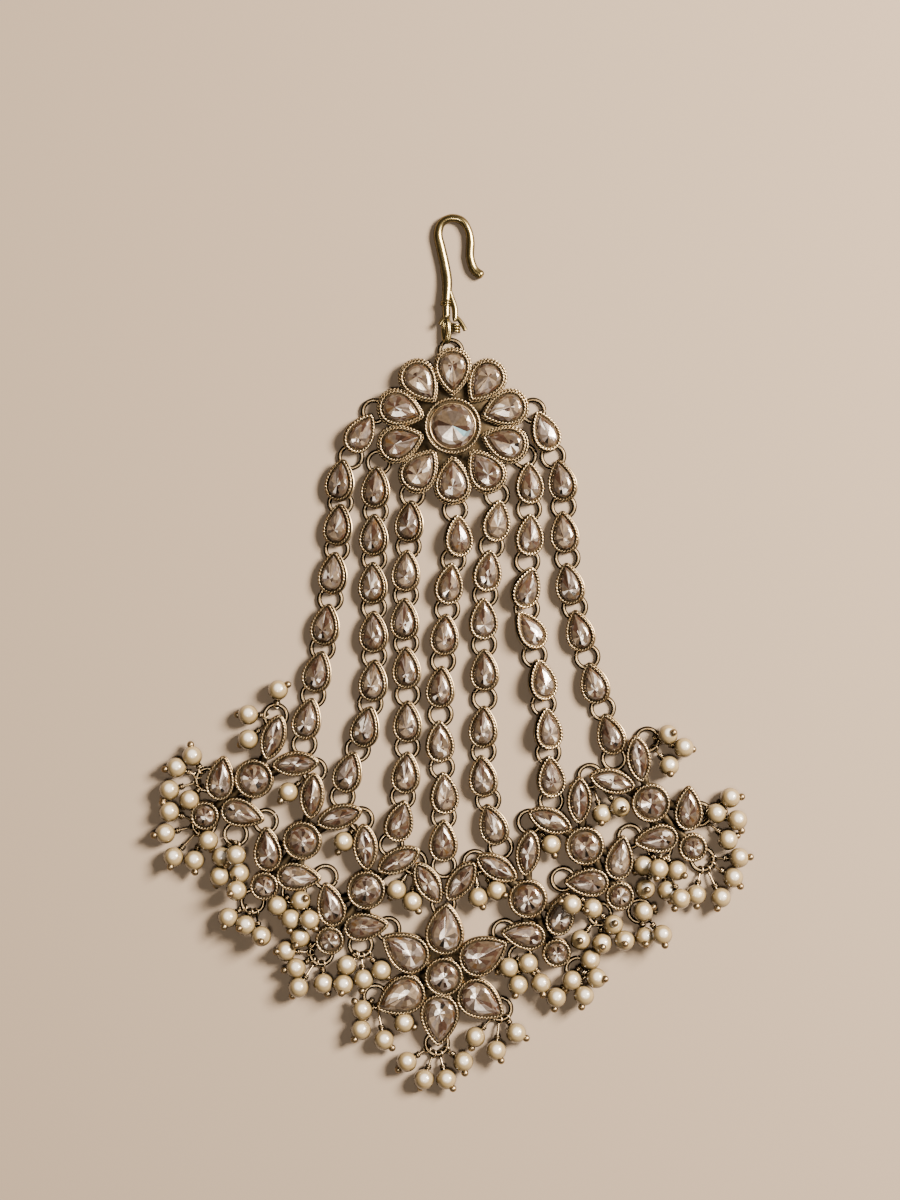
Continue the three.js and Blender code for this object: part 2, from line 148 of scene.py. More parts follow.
# Outline, outer width and length of each cup, and how far in the edge of its stone is.
CUPS = {
    "link": ("pear", 4.9, 7.2, RIM),
    "petal": ("pear", 5.9, 7.6, RIM),
    "marquise": ("marquise", 4.2, 7.9, RIM),
    "side_pear": ("pear", 4.9, 7.6, RIM),
    "side_round": ("round", 6.6, 6.6, 0.8),
    "small_round": ("round", 4.9, 4.9, 0.72),
    "flower_pear": ("pear", 6.6, 8.8, RIM),
    "centre": ("round", 9.7, 9.7, 1.14),
}
# A cup's wall as distance in from the outline, height, and how dark the metal is there: the underside, up
# the outside, below the twisted wire, and down inside the rim to the bed of the stone.
CUP_WALL = [(0.6, 0.0, 1.0), (0.0, 0.03, 0.7), (-0.08, 0.14, 0.3), (0.0, 0.26, 0.4), (0.12, 0.3, 1.0),
            (0.4, 0.36, 1.0), (0.3, 1.1, 1.0), (0.42, 1.3, 1.0), (0.62, 1.3, 0.9), (0.95, 1.12, 0.9)]
BED_HEIGHT = 1.12
EDGE_STEPS, FINE_STEPS = 481, 400  # points on which an outline is worked out, and then measured
SHARP_BEND = 62.0  # degrees between faces from which an edge is drawn sharp


def full_turn(steps):
    """Angles spaced evenly round a circle."""
    return np.linspace(0, 2 * np.pi, steps, endpoint=False)


def stone_edge(form, width, length, rim, turn):
    """The edge of a cup's stone at each angle t of turn, tip at +Y. A round is (cos t, sin t); a pear's cosine
    is multiplied by ((1 - sin t) / 2) to the power 0.4, and a marquise's by |cos t| to the power 0.6."""
    across, along = np.cos(turn), np.sin(turn)
    if form == "pear":
        across = across * np.clip((1 - along) / 2, 0, 1) ** PEAR_TAPER / PEAR_WIDEST
    elif form == "marquise":
        across = across * np.abs(across) ** MARQUISE_TAPER
    return np.stack([across * (width / 2 - rim), along * (length / 2 - rim)], axis=1)


def outline(form, width, length, steps, inset):
    """The outside of a cup, drawn in by inset, as points evenly spaced along it. It keeps a steady distance
    from the stone's edge: each of its points is the edge's furthest one in some direction, moved on in that
    direction, so it is round where the stone is sharp."""
    core = max(inset, RIM)
    turn = np.linspace(0.5, 2.5, EDGE_STEPS) * np.pi
    facing = np.stack([np.cos(turn), np.sin(turn)], axis=1)
    edge = stone_edge(form, width, length, core, turn)
    curve = edge[np.argmax(facing @ edge.T, axis=1)] + (core - inset) * facing
    run = np.concatenate([[0], np.cumsum(np.hypot(*np.diff(curve, axis=0).T))])
    at = np.linspace(0, run[-1], steps, endpoint=False)
    return np.stack([np.interp(at, run, curve[:, 0]), np.interp(at, run, curve[:, 1])], axis=1)


def grid_quads(rows, columns, closed_rows):
    """Four-cornered faces of a grid of points numbered row by row. The columns always close into a ring."""
    row = np.arange(rows if closed_rows else rows - 1)[:, None] * columns
    column = np.arange(columns)[None, :]
    after = (column + 1) % columns
    above = (row + columns) % (rows * columns)
    return np.stack([row + column, row + after, above + after, above + column], axis=2).reshape(-1, 4)


def fan(ring, pole):
    """Three-cornered faces from a ring of points to one point."""
    return np.stack([ring, np.roll(ring, -1), np.full_like(ring, pole)], axis=1)


def outwards(points, quads, triangles):
    """The faces of a closed surface, all turned round if the volume that they enclose comes out negative."""
    a, b, c, d = (points[quads[:, i]] for i in range(4))
    e, f, g = (points[triangles[:, i]] for i in range(3))
    volume = np.einsum("ij,ij->", a, np.cross(b, c) + np.cross(c, d)) + np.einsum("ij,ij->", e, np.cross(f, g))
    return (quads, triangles) if volume > 0 else (quads[:, ::-1], triangles[:, ::-1])


def capped_rows(rows, patina_and_painted_light, first_pole, last_pole):
    """A closed patch from rows of rings, with each end drawn in to one point. rows is an array of rings by points by
    xyz, and the darkness given with them says how dark each of those points is: blackening of the metal, painted
    shade and pale painted highlights."""
    count, columns = rows.shape[:2]
    points = np.concatenate([rows.reshape(-1, 3), [first_pole, last_pole]])
    ring = np.arange(columns)
    triangles = np.concatenate([fan(ring[::-1], count * columns),
                                fan(ring + (count - 1) * columns, count * columns + 1)])
    quads, triangles = outwards(points, grid_quads(count, columns, False), triangles)
    shade = np.concatenate([patina_and_painted_light.reshape(-1), [patina_and_painted_light[0].mean(), patina_and_painted_light[-1].mean()]])
    return points, quads, triangles, shade


def cup_body(form, width, length):
    """A cup's wall: the outline drawn in by each distance of CUP_WALL and set at its height, ring on ring."""
    rings = [np.column_stack([outline(form, width, length, CUP_STEPS, inset), np.full(CUP_STEPS, height)])
             for inset, height, _ in CUP_WALL]
    patina_and_painted_light = np.array([[dark] * CUP_STEPS for _, _, dark in CUP_WALL])
    return capped_rows(np.array(rings), patina_and_painted_light, (0, 0, 0), (0, 0, BED_HEIGHT))


def tube(path, radius, sides, up, closed=False, patina_and_painted_light=None, dark=3.6):
    """A round section carried along a path. At each point it is spanned by the direction level with the path, path
    cross up, and the one that is square to both. radius and the darkness are one number, or one for each point and
    side. Without a darkness given, the wire is painted with light: its sides and underside are dark as painted shade
    and its top is pale as a painted highlight, a thinner line the higher dark is."""
    ahead = np.roll(path, -1, axis=0) - np.roll(path, 1, axis=0)
    if not closed:
        ahead[0], ahead[-1] = path[1] - path[0], path[-1] - path[-2]
    level = np.cross(ahead, up)
    level /= np.linalg.norm(level, axis=1)[:, None]
    square = np.cross(level, ahead)
    square /= np.linalg.norm(square, axis=1)[:, None]
    turn = full_turn(sides)
    radius = np.broadcast_to(radius, (len(path), sides))
    spread = level[:, None] * np.cos(turn)[None, :, None] + square[:, None] * np.sin(turn)[None, :, None]
    rows = path[:, None] + spread * radius[..., None]
    # Painted shade on the sides and underside and a painted highlight along the top, from how high each point of the
    # section faces.
    if patina_and_painted_light is None:
        patina_and_painted_light = np.clip(dark - (dark + 0.1) * spread[..., 2], 0, 1)
    patina_and_painted_light = np.broadcast_to(patina_and_painted_light, radius.shape)
    if not closed:
        return capped_rows(rows, patina_and_painted_light, path[0], path[-1])
    points = rows.reshape(-1, 3)
    quads, triangles = outwards(points, grid_quads(len(path), sides, True), np.zeros((0, 3), int))
    return points, quads, triangles, patina_and_painted_light.reshape(-1)


def twisted_wire(form, width, length, height):
    """Two wires twisted together and bent round a cup: the section's radius is 0.6 of ROPE_RADIUS plus 0.45 of it
    times the squared cosine of (angle round the section - turn of the twist). The grooves are blackened, the sides
    and underside of the wire are dark as painted shade, and the crests are rubbed."""
    line = outline(form, width, length, FINE_STEPS, ROPE_RADIUS)
    around = np.hypot(*(np.roll(line, -1, axis=0) - line).T).sum()
    strands = round(around / ROPE_STRAND)
    steps = strands * ROPE_STEPS
    line = outline(form, width, length, steps, ROPE_RADIUS)
    path = np.column_stack([line, np.full(steps, height)])
    turn = full_turn(ROPE_SIDES)[None, :]
    twist = (np.arange(steps) / ROPE_STEPS * np.pi)[:, None]
    crest = np.cos(turn - twist) ** 2
    # Blackened grooves, plus painted shade wherever the section faces sideways or down.
    patina_and_painted_light = np.clip(1.9 - 3.0 * crest, 0, 1) + np.clip(0.9 - 2.2 * np.sin(turn), 0, 1)
    return tube(path, ROPE_RADIUS * (0.6 + 0.45 * crest), ROPE_SIDES, (0, 0, 1), True, np.clip(patina_and_painted_light, 0, 1))


def stepped(x, y, heading, distance):
    """The point that lies a distance from another along a heading in degrees."""
    return x + distance * math.cos(math.radians(heading)), y + distance * math.sin(math.radians(heading))


def placed(patch, x, y, z, heading=90.0, roll=0.0):
    """Rolls a patch about its length by so many degrees towards +X, turns its +Y to a heading and moves it."""
    points, *rest = patch
    tilt, turn = math.radians(roll), math.radians(heading - 90)
    rolled = np.array([[math.cos(tilt), 0, math.sin(tilt)], [0, 1, 0], [-math.sin(tilt), 0, math.cos(tilt)]])
    turned = np.array([[math.cos(turn), -math.sin(turn), 0], [math.sin(turn), math.cos(turn), 0], [0, 0, 1]])
    return (points @ rolled.T @ turned.T + (x, y, z), *rest)


def make_piece(name, patches, material, replaced=()):
    """One object in metres from patches of points, four- and three-cornered faces, and either a darkness for each
    point of a smooth surface, which holds blackening, painted shade and painted highlights, or a colour for each
    facet. It rides on the part's one body."""
    starts = np.cumsum([0] + [len(patch[0]) for patch in patches])
    points = np.concatenate([patch[0] for patch in patches]) * MM
    quads = np.concatenate([patch[1] + start for patch, start in zip(patches, starts)])
    triangles = np.concatenate([patch[2] + start for patch, start in zip(patches, starts)])
    corners = np.concatenate([quads.reshape(-1), triangles.reshape(-1)]).astype(np.int32)
    loop_starts = np.concatenate([np.arange(len(quads)) * 4, len(quads) * 4 + np.arange(len(triangles)) * 3])
    mesh = bpy.data.meshes.new(name)
    mesh.vertices.add(len(points))
    mesh.vertices.foreach_set("co", points.astype(np.float32).reshape(-1))
    mesh.loops.add(len(corners))
    mesh.loops.foreach_set("vertex_index", corners)
    mesh.polygons.add(len(loop_starts))
    mesh.polygons.foreach_set("loop_start", loop_starts.astype(np.int32))
    mesh.update(calc_edges=True)
    smooth = patches[0][3].ndim == 1
    if smooth:
        shade = mesh.attributes.new("patina_and_painted_light", "FLOAT", "POINT")
        shade.data.foreach_set("value", np.concatenate([patch[3] for patch in patches]).astype(np.float32))
    else:
        colours = np.concatenate([np.repeat(patch[3][:len(patch[1])], 4, axis=0) for patch in patches]
                                 + [np.repeat(patch[3][len(patch[1]):], 3, axis=0) for patch in patches])
        facets = mesh.attributes.new("facet", "FLOAT_COLOR", "CORNER")
        facets.data.foreach_set("color", colours.astype(np.float32).reshape(-1))
    mesh.polygons.foreach_set("use_smooth", np.full(len(loop_starts), smooth))
    if smooth:
        mesh.set_sharp_from_angle(angle=math.radians(SHARP_BEND))
    mesh.materials.append(material)
    piece = bpy.data.objects.new(name, mesh)
    bpy.context.scene.collection.objects.link(piece)
    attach(piece, "root")
    if replaced:
        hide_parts(*replaced)


BLOTCH, TINT, PITTING = 2.0, 0.8, 0.12  # widths of the patterns in the metal


def blackened_metal(name, rubbed, warm, blackened, smoothest, roughest):
    """Gilt brass with a blackened finish: the darkness attribute, which holds the blackening in hollows together with
    painted shade on the sides and undersides of wires and painted highlights along their tops, and soft blotches
    choose between the rubbed colour and the black, smaller blotches warm the rubbed colour, and a fine pitting breaks
    the shine."""
    material, tree = new_material(name)
    place = add_node(tree, "ShaderNodeTexCoord", {}, {}).outputs["Object"]
    patina_and_painted_light = add_node(tree, "ShaderNodeAttribute", {"attribute_name": "patina_and_painted_light"}, {}).outputs["Fac"]
    blotches, tints, pits = (
        add_node(tree, "ShaderNodeTexNoise", {"Scale": 1 / (across * MM), "Detail": detail}, {"Vector": place})
        for across, detail in ((BLOTCH, 3.0), (TINT, 2.0), (PITTING, 2.0)))
    uneven = add_node(tree, "ShaderNodeMath", {"operation": "MULTIPLY_ADD", 1: 0.36, 2: -0.18},
                      {0: blotches.outputs["Fac"]})
    dark = add_node(tree, "ShaderNodeMath", {"operation": "ADD", "use_clamp": True},
                    {0: patina_and_painted_light, 1: uneven.outputs[0]}).outputs[0]
    gilt = add_node(tree, "ShaderNodeMix", {"data_type": "RGBA", 6: linear(rubbed), 7: linear(warm)},
                    {0: tints.outputs["Fac"]}).outputs[2]
    colour = add_node(tree, "ShaderNodeMix", {"data_type": "RGBA", 7: linear(blackened)},
                      {0: dark, 6: gilt}).outputs[2]
    gloss = add_node(tree, "ShaderNodeMapRange", {"To Min": smoothest, "To Max": roughest},
                     {"Value": dark}).outputs[0]
    relief = add_node(tree, "ShaderNodeBump", {"Strength": 0.25, "Distance": 0.00002},
                      {"Height": pits.outputs["Fac"]}).outputs[0]
    metal = add_node(tree, "ShaderNodeBsdfPrincipled", {"Metallic": 1.0},
                     {"Base Color": colour, "Roughness": gloss, "Normal": relief})
    add_node(tree, "ShaderNodeOutputMaterial", {}, {"Surface": metal.outputs["BSDF"]})
    return material


# Gold-plated brass, blackened and tumbled: pale warm gold on every edge, near black in every hollow.
antique_gold = blackened_metal("antique_gold_plated_brass", "#fff0cc", "#dba862", "#080502", 0.26, 0.5)


def roped_cup(kind, x, y, seat, heading=90.0, roll=0.0, foot_rope=False):
    """The metal of one cup in place: its wall and the twisted wire on its rim, and on a foot rope's cup a
    second one round its base."""
    form, width, length, _ = CUPS[kind]
    made = [cup_body(form, width, length), twisted_wire(form, width, length, ROPE_HEIGHT)]
    if foot_rope:
        made.append(twisted_wire(form, width + FOOT_ROPE_WIDER, length + FOOT_ROPE_LONGER, FOOT_ROPE_HEIGHT))
    return [placed(patch, x, y, seat, heading, roll) for patch in made]


def turned_disc(x, y, profile, steps=64):
    """A disc turned from a profile of radius, height and darkness, closed at its middle above and below."""
    turn = full_turn(steps)
    radius, height, dark = (np.array(column)[:, None] for column in zip(*profile))
    flat = np.ones(steps)[None, :]
    rows = np.stack([x + radius * np.cos(turn), y + radius * np.sin(turn), height * flat], axis=2)
    return capped_rows(rows, dark * flat, (x, y, profile[0][1]), (x, y, profile[-1][1]))


# The plate's profile, as radius, height and darkness.
PLATE = [(PLATE_RADIUS - 0.15, 0.0, 0.95), (PLATE_RADIUS, 0.12, 0.95), (PLATE_RADIUS, 1.1, 0.95),
         (PLATE_RADIUS - 0.12, 1.3, 0.92), (4.0, 1.3, 0.92)]
# The plain bright wire that holds the centre stone: radius of its ring and of the wire, height, and darkness.
BEZEL_RING, BEZEL_WIRE, BEZEL_HEIGHT, BEZEL_DARK = 3.84, 0.13, 1.4, 0.2
BEZEL_STEPS, BEZEL_SIDES = 72, 8
petal_headings = [90 + 360 * i / PETALS for i in range(PETALS)]
petal_places = [(*stepped(*MEDALLION, heading, PETAL_REACH), heading + 180) for heading in petal_headings]
setting = [turned_disc(*MEDALLION, PLATE), *roped_cup("centre", *MEDALLION, HIGH_SEAT)]
turn = full_turn(BEZEL_STEPS)
bezel = np.column_stack([BEZEL_RING * np.cos(turn), BEZEL_RING * np.sin(turn), np.full(BEZEL_STEPS, BEZEL_HEIGHT)])
setting.append(placed(tube(bezel, BEZEL_WIRE, BEZEL_SIDES, (0, 0, 1), True, BEZEL_DARK), *MEDALLION, HIGH_SEAT))
for x, y, heading in petal_places:
    setting += roped_cup("petal", x, y, HIGH_SEAT, heading, foot_rope=True)
make_piece("medallion_plate_and_cups", setting, antique_gold, ["medallion_setting"])

# Stones: champagne glass crystals, cut with a flat table over radiating facets and foiled behind. Each facet is
# painted one flat tone, from white to brown, as painted reflections and flashes of the foil. Pressed into the cups
# under the twisted wire.
FACETS = 16  # round a stone
# White, ice, pale, grey, champagne, rose brown, brown, amber, mid and dark.
TONES = {letter: linear(value) for letter, value in {
    "W": "#fff6ef", "I": "#a4dcf0", "L": "#90837c", "G": "#665a50", "C": "#6e5e4c", "R": "#523b2e",
    "B": "#3a291f", "A": "#64492c", "M": "#a3907a", "D": "#15100b"}.items()}
# The tones of a stone's table facets: one letter each from below its middle, up its right side to the tip
# and down its left side.
CUTS = {
    "pear": {"plain": "CGMGLLMLRRCGCCWD", "fan": "WCGGMLMGRRRCCGCD", "flash": "CGLGMWLLRRCCGMWC",
             "dusky": "RCGRCLGLBRCRGCAC", "clear": "MGCMMWMLCMGCMGMM", "split": "CDLGLLWGRBRGCWGC"},
    "round": {"spokes": "GDMWGCRMBCRGMGWB", "half": "MWLGCRBDGBRCGMLW", "wedge": "DCGWMRCBGRMCGBRG",
              "bright": "MDWLCGRMBCRWMLGM"},
    "marquise": {"ridge": "WRCGMLWLDBRCGRBG", "white": "GCRCMWWLBRCGWWMG", "dark": "MGRBCGLDGRBCGLWB"},
}
CENTRE_CUT = "GWIRCCGGGCCBLLWW"
CROWN_TONES = "CGRCLRAC"  # each facet between the table and the edge takes one of these
FLASH_TONES = "WLGMBR"  # and so many of the table's outer and inner facets one of these, as painted flashes and dark painted reflections
FLASH_SHARES = [[0.1], [0.5]]
MIRRORED_SHARE = 0.25  # of the stones
PEAR_LOW = 0.14  # how far the middle of a pear's facets lies towards its round end, as a share of its length
FLECK = 0.5  # width of the flecks in the glass
CUT_SEED = 5000  # added to a stone's seed to pick its cut
# Rings of a stone: share of the way from its middle to its edge, height, and whether it sits half a facet on.
STONE_RINGS = [(0.34, 2.06, 0.0), (0.7, 1.94, 0.0), (0.86, 1.76, 0.5), (1.0, 1.38, 0.0)]
MIDDLE_HEIGHT = 2.12  # where the facets meet


def foiled_crystal(name):
    """Foil-backed glass, pressed and polished: each facet's painted tone, which holds its painted reflections and
    flashes, clouded a little by fine flecks, under a clear polished coat, and a little metallic because the foil
    shines through."""
    material, tree = new_material(name)
    place = add_node(tree, "ShaderNodeTexCoord", {}, {}).outputs["Object"]
    facet = add_node(tree, "ShaderNodeAttribute", {"attribute_name": "facet"}, {}).outputs["Color"]
    flecks = add_node(tree, "ShaderNodeTexNoise", {"Scale": 1 / (FLECK * MM), "Detail": 2.0}, {"Vector": place})
    depth = add_node(tree, "ShaderNodeMapRange", {"From Min": 0.3, "From Max": 0.7, "To Min": 0.72, "To Max": 1.1},
                     {"Value": flecks.outputs["Fac"]}).outputs[0]
    colour = add_node(tree, "ShaderNodeVectorMath", {"operation": "SCALE"}, {0: facet, "Scale": depth})
    glass = add_node(tree, "ShaderNodeBsdfPrincipled",
                     {"Metallic": 0.2, "Roughness": 0.2, "IOR": 1.54, "Coat Weight": 1.0,
                      "Coat Roughness": 0.02}, {"Base Color": colour.outputs[0]})
    add_node(tree, "ShaderNodeOutputMaterial", {}, {"Surface": glass.outputs["BSDF"]})
    return material


crystal = foiled_crystal("foiled_champagne_crystal")


def cut_stone(kind, cut, seed):
    """A stone of one cup with its table facets in the tones of a cut, which are painted reflections and flashes. Its
    rings of corners lie a share of the way from the stone's middle to its edge; the facets between them are wedges on
    the table and kites on the crown. The seed changes a few tones and mirrors some stones."""
    form, width, length, rim = CUPS[kind]
    dice = np.random.default_rng(seed)
    middle = np.array([0.0, -PEAR_LOW * length if form == "pear" else 0.0])
    slots = np.arange(FACETS)
    rings = []
    for share, height, offset in STONE_RINGS:
        edge = stone_edge(form, width, length, rim, (slots + offset) * 2 * np.pi / FACETS - np.pi / 2)
        rings.append(np.column_stack([middle + share * (edge - middle), np.full(FACETS, height)]))
    points = np.concatenate([*rings, [(*middle, MIDDLE_HEIGHT), (*middle, BED_HEIGHT)]])
    ring = [slots + FACETS * i for i in range(len(rings))]
    after = np.roll(slots, -1)
    quads = np.stack([ring[0], ring[1], ring[1][after], ring[0][after]], axis=1)
    wedge = np.stack([ring[0], ring[0][after], np.full(FACETS, len(rings) * FACETS)], axis=1)
    kites = [np.stack(corners, axis=1) for corners in (
        (ring[1], ring[2], ring[1][after]), (ring[2], ring[2][after], ring[1][after]),
        (ring[3], ring[3][after], ring[2]), (ring[2], ring[3][after], ring[2][after]))]
    below = np.stack([ring[3][after], ring[3], np.full(FACETS, len(rings) * FACETS + 1)], axis=1)
    table = np.array([TONES[letter] for letter in cut])
    flashes = np.array([TONES[FLASH_TONES[i]] for i in dice.integers(0, len(FLASH_TONES), (2, FACETS))
                        .reshape(-1)]).reshape(2, FACETS, 4)
    changed = (dice.random((2, FACETS)) < FLASH_SHARES) & (kind != "centre")
    table = np.where(changed[0][:, None], flashes[0], table) * dice.uniform(0.74, 1.03, (FACETS, 1))
    heart = np.where(changed[1][:, None], flashes[1], table) * dice.uniform(0.8, 1.15, (FACETS, 1))
    crown = np.array([[TONES[CROWN_TONES[i]] for i in dice.integers(0, len(CROWN_TONES), FACETS)]
                      for _ in kites])
    crown[:2] = 0.6 * crown[:2] + 0.4 * table
    crown *= dice.uniform(0.8, 1.2, (len(kites), FACETS, 1))
    # The outermost crown facets are painted darker, a dark line round the stone's edge.
    crown[3] *= 0.8
    colours = np.concatenate([table, heart, *crown, np.repeat([TONES["D"]], FACETS, axis=0)])
    colours[:, 3] = 1
    if dice.random() < MIRRORED_SHARE and kind != "centre":
        points = points * (-1, 1, 1)
    triangles = np.concatenate([wedge, *kites, below])
    quads, triangles = outwards(points, quads, triangles)
    return points, quads, triangles, np.clip(colours, 0, 1)


def set_stone(kind, seed, x, y, seat, heading=90.0, roll=0.0, cut=None):
    """A stone in its cup, of the named cut or of one that its seed picks."""
    cuts = CUTS[CUPS[kind][0]]
    picked = cuts[cut or list(cuts)[np.random.default_rng(seed + CUT_SEED).integers(0, len(cuts))]]
    return placed(cut_stone(kind, picked, seed), x, y, seat, heading, roll)


PETAL_CUTS = ["clear", "clear", "dusky", "dusky", "clear", "plain", "dusky", "fan", "clear", "clear"]
centre_stone = placed(cut_stone("centre", CENTRE_CUT, 3), *MEDALLION, HIGH_SEAT)
make_piece("medallion_centre_stone", [centre_stone], crystal, ["centre_stone"])
petal_stones = [set_stone("petal", 10 + i, x, y, HIGH_SEAT, heading, cut=cut)
                for i, ((x, y, heading), cut) in enumerate(zip(petal_places, PETAL_CUTS))]
make_piece("medallion_petal_stones", petal_stones, crystal,
           [f"petal_stone_{i + 1}" for i in range(PETALS)])

# Jump rings: round brass wire in antique gold, wound on a rod and cut, so each ring is not quite closed. The
# one above the medallion joins it to the hook.
WIRE = 0.4  # half the thickness of the wire
RING = 1.9  # radius of the wire's middle line
RING_STEPS, RING_SIDES = 36, 12
RING_SLIT = 5.0  # degrees left open where the wire was cut
RING_TARNISH = 0.3  # how dark the wire is where it is palest, at its rubbed top and painted highlight
RING_DARK = 9.0  # painted shade: all but a thin painted highlight along the very top of the wire is black
TOP_RING = (-0.2, 51.3, 240)  # and the heading of its slit


def jump_ring(x, y, slit_heading):
    """A circle of wire lying on the surface, open by RING_SLIT degrees at one heading."""
    open_half = math.radians(RING_SLIT) / 2
    turn = np.linspace(open_half, 2 * np.pi - open_half, RING_STEPS)
    path = np.stack([RING * np.cos(turn), RING * np.sin(turn), np.zeros(RING_STEPS)], axis=1)
    points, quads, triangles, patina_and_painted_light = tube(path, WIRE, RING_SIDES, (0, 0, 1), dark=RING_DARK)
    # Even tarnish over the whole wire, on top of its painted shade and thin painted highlight.
    tarnish_and_shade = RING_TARNISH + (1 - RING_TARNISH) * patina_and_painted_light
    return placed((points, quads, triangles, tarnish_and_shade), x, y, WIRE, slit_heading)


make_piece("top_jump_ring", [jump_ring(*TOP_RING)], antique_gold, ["top_ring"])

# Hook: thick brass wire bent into an arch with a flared tip, its shank split into two flat prongs. Thin wire is wound
# from the prongs through the top ring. Brighter and greener than the rest, because it wears clean and less of its
# wire is painted dark as shade.
HOOK_WIRE, HOOK_REST = 0.7, 1.7  # height of the wire's middle where it lies down, and over the top ring
HOOK_LIFTS, HOOK_LANDS = 54.9, 65.0  # from where to where along Y it sinks
HOOK_THICKNESS, PRONG_THICKNESS = 0.66, 0.42  # half of it, square to the surface
HOOK_DARK, WOUND_DARK = 1.5, 1.3  # how much of the thick and of the thin wire is painted black, as shade on its sides and underside
HOOK_SIDES, WOUND_SIDES = 14, 8
HOOK_STEPS, PRONG_STEPS, EYE_STEPS, COIL_STEPS = 120, 24, 40, 18  # the last for one turn
HOOK_ROUTE = [(-0.95, 56.4), (-1.0, 59.6), (-0.85, 63.0), (-1.28, 66.0), (-1.95, 69.0), (-2.38, 71.2), (-1.8, 73.1),
              (-0.1, 73.95), (1.75, 73.45), (2.8, 71.8), (3.12, 69.8), (3.05, 67.4), (3.75, 65.2), (5.2, 64.0)]
PRONG_ROUTE = [(-0.7, 62.6), (-0.2, 60.6), (0.45, 58.4), (0.5, 56.2)]
# Radius of the wire, level with the surface, at each point of the two routes.
HOOK_WIDTHS = [0.58, 0.74, 0.88, 0.86, 0.84, 0.78, 0.72, 0.7, 0.68, 0.64, 0.74, 0.74, 0.78, 0.8]
PRONG_WIDTHS = [0.34, 0.5, 0.52, 0.46]
# Each coil of thin wire: middle, its radius and the wire's, number of turns, and length of one turn.
COILS = [(0.6, 55.1, HOOK_REST, 0.6, 0.27, 2.6, 0.5), (-1.05, 59.4, 1.2, 0.82, 0.17, 2.2, 0.38)]
# Each cut end of thin wire: its points, number of steps, and half its thickness.
CUT_ENDS = [([(0.4, 57.2), (1.1, 56.6), (1.7, 55.8), (2.3, 54.7)], 14, 0.38),
            ([(-0.9, 57.0), (-1.6, 56.5), (-2.1, 55.7)], 10, 0.36)]
# The loops of thin wire through the top ring: middle, half the width and length, how far they rise and fall
# about how high, and half the wire's thickness.
EYE = (-1.1, 54.8, 0.95)
EYE_WIDE, EYE_LONG, EYE_SWING, EYE_LIFT, EYE_WIRE = 0.42, 1.9, 0.45, 0.3, 0.36
# Plated brass wire, rubbed by wear: a cooler, greener gold, painted pale along its top as a highlight.
hook_gold = blackened_metal("rubbed_gilt_hook_wire", "#e3cf98", "#9c8850", "#171005", 0.24, 0.42)


def smooth_route(points, steps):
    """A Catmull-Rom curve through the points: each stretch is the cubic that takes its slope at a point from
    the two points on either side of it."""
    points = np.array(points, float)
    ends = np.concatenate([[2 * points[0] - points[1]], points, [2 * points[-1] - points[-2]]])
    at = np.linspace(0, len(points) - 1, steps)
    first = np.minimum(at.astype(int), len(points) - 2)
    t = (at - first)[:, None]
    a, b, c, d = (ends[first + i] for i in range(4))
    return 0.5 * (2 * b + (c - a) * t + (2 * a - 5 * b + 4 * c - d) * t ** 2 + (3 * b - a - 3 * c + d) * t ** 3)


def fallen(route):
    """Gives a flat route its height, which falls evenly along Y from over the top ring to the surface."""
    fall = np.clip((route[:, 1] - HOOK_LIFTS) / (HOOK_LANDS - HOOK_LIFTS), 0, 1)
    return np.column_stack([route[:, :2], HOOK_REST + (HOOK_WIRE - HOOK_REST) * fall])


def flattened_wire(points, widths, steps, thickness):
    """A bent wire whose section is an ellipse: as wide as the widths say, and so many mm thick in half. Its
    first and last two rings are drawn in, which rounds the ends."""
    route = smooth_route([(*point, width) for point, width in zip(points, widths)], steps)
    turn = full_turn(HOOK_SIDES)
    ellipse = 1 / np.hypot(np.cos(turn)[None, :] / route[:, 2:], np.sin(turn)[None, :] / thickness)
    ellipse *= np.concatenate([[0.45, 0.8], np.ones(steps - 4), [0.85, 0.55]])[:, None]
    return tube(fallen(route), ellipse, HOOK_SIDES, (0, 0, 1), dark=HOOK_DARK)


def wire_coil(x, y, z, radius, wire, turns, pitch):
    """Thin wire wound about a level axis: (radius cos t, pitch t / 2 pi, radius sin t)."""
    turn = np.linspace(0, 2 * np.pi * turns, int(COIL_STEPS * turns))
    path = np.stack([radius * np.cos(turn), pitch * (turn / (2 * np.pi) - turns / 2), radius * np.sin(turn)], axis=1)
    up = np.stack([np.cos(turn), np.zeros_like(turn), np.sin(turn)], axis=1)
    return placed(tube(path, wire, WOUND_SIDES, up, dark=WOUND_DARK), x, y, z)


def eye_loop(aside, back):
    """One turn of the thin wire through the top ring: an ellipse, long along Y, that rises and falls with the
    cosine of the turn, moved aside and back from the first one."""
    turn = full_turn(EYE_STEPS)
    path = np.stack([EYE_WIDE * np.cos(turn) + aside, EYE_LONG * np.sin(turn) - back,
                     EYE_SWING * np.cos(turn) + EYE_LIFT], axis=1)
    return placed(tube(path, EYE_WIRE, WOUND_SIDES, (0.4, 0, 0.9), True, dark=WOUND_DARK), *EYE)


hook_parts = [flattened_wire(HOOK_ROUTE, HOOK_WIDTHS, HOOK_STEPS, HOOK_THICKNESS),
              flattened_wire(PRONG_ROUTE, PRONG_WIDTHS, PRONG_STEPS, PRONG_THICKNESS),
              eye_loop(0, 0), eye_loop(0.25, 0.15), *[wire_coil(*coil) for coil in COILS]]
hook_parts += [tube(fallen(smooth_route(points, steps)), wire, WOUND_SIDES, (0, 0, 1), dark=WOUND_DARK)
               for points, steps, wire in CUT_ENDS]
make_piece("hook_wire", hook_parts, hook_gold, ["hook"])

